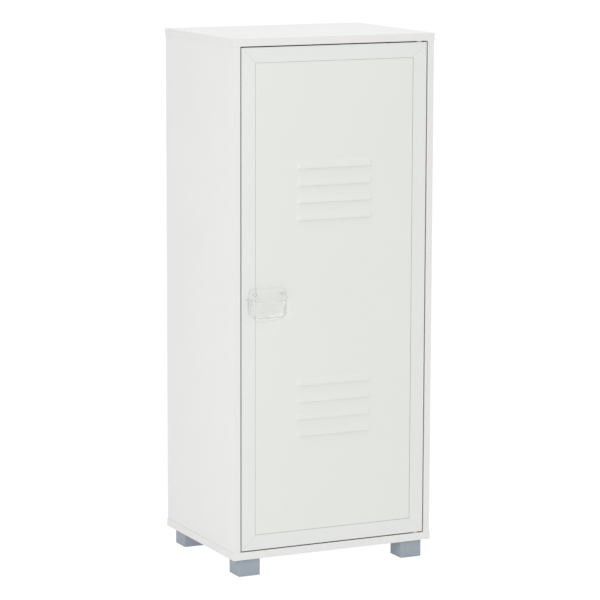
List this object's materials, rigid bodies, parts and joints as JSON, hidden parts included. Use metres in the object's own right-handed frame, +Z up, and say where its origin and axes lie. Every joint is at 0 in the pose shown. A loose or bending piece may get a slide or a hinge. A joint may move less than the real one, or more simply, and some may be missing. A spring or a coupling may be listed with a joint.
{
  "type": "locker cabinet",
  "caption": "Free-standing board cabinet on square feet, with loose shelves and a mitred-frame door on pivot pins: pressed louvres, a clear cup handle and a magnetic catch.",
  "frame": {"origin": "on the floor, under the centre of the whole object's box, door shut", "axes": "+Z up, -Y towards the front, +X towards the hinge side of the door"},
  "size_m": [0.426, 0.346, 1.035],
  "materials": {
    "melamine_board": "white melamine-faced board, faint satin grain",
    "abs_edging": "white satin edging strip",
    "hardboard": "white-faced hardboard",
    "foot_plastic": "blue-grey moulded plastic",
    "door_frame": "white foil-wrapped moulding, satin",
    "door_sheet": "off-white powder coat",
    "clear_plastic": "clear polished plastic",
    "zinc_steel": "bright zinc plate",
    "cast_zinc": "dull cast zinc alloy",
    "nylon": "natural nylon",
    "catch_plastic": "white moulded plastic",
    "ferrite": "dark sintered ferrite",
    "key_plastic": "black moulded plastic",
    "beech": "fluted beech"
  },
  "bodies": {
    "cabinet": {"top_panel": "melamine_board", "bottom_panel": "melamine_board", "side_panel_left": "melamine_board", "side_panel_right": "melamine_board", "shelf_lower": "melamine_board", "shelf_upper": "melamine_board", "edging_top_front": "abs_edging", "edging_top_ends": "abs_edging", "edging_bottom_front": "abs_edging", "edging_bottom_ends": "abs_edging", "edging_side_left": "abs_edging", "edging_side_right": "abs_edging", "edging_shelves": "abs_edging", "back_panel": "hardboard", "foot_front_left": "foot_plastic", "foot_front_right": "foot_plastic", "foot_rear_left": "foot_plastic", "foot_rear_right": "foot_plastic", "shelf_pins": "zinc_steel", "cam_bolts": "zinc_steel", "foot_screws": "zinc_steel", "catch_poles": "zinc_steel", "catch_screws": "zinc_steel", "cam_locks": "cast_zinc", "pivot_bush_top": "nylon", "pivot_bush_bottom": "nylon", "catch_housing": "catch_plastic", "catch_magnet": "ferrite", "dowels": "beech"},
    "door": {"door_rail_top": "door_frame", "door_rail_bottom": "door_frame", "door_stile_left": "door_frame", "door_stile_right": "door_frame", "door_sheet": "door_sheet", "corner_keys": "key_plastic", "door_handle": "clear_plastic", "handle_screw_long": "nylon", "handle_screw_short": "nylon", "pivot_pin_top": "zinc_steel", "pivot_pin_bottom": "zinc_steel", "pivot_washer_top": "nylon", "pivot_washer_bottom": "nylon", "strike_plate": "zinc_steel", "strike_screws": "zinc_steel"}
  },
  "joints": [
    {"name": "door_hinge", "type": "hinge", "parent": "cabinet", "child": "door", "pos_m": [0.1822, -0.1425, 0.535], "axis": [0, 0, 1], "range_deg": [0, 125]}
  ]
}
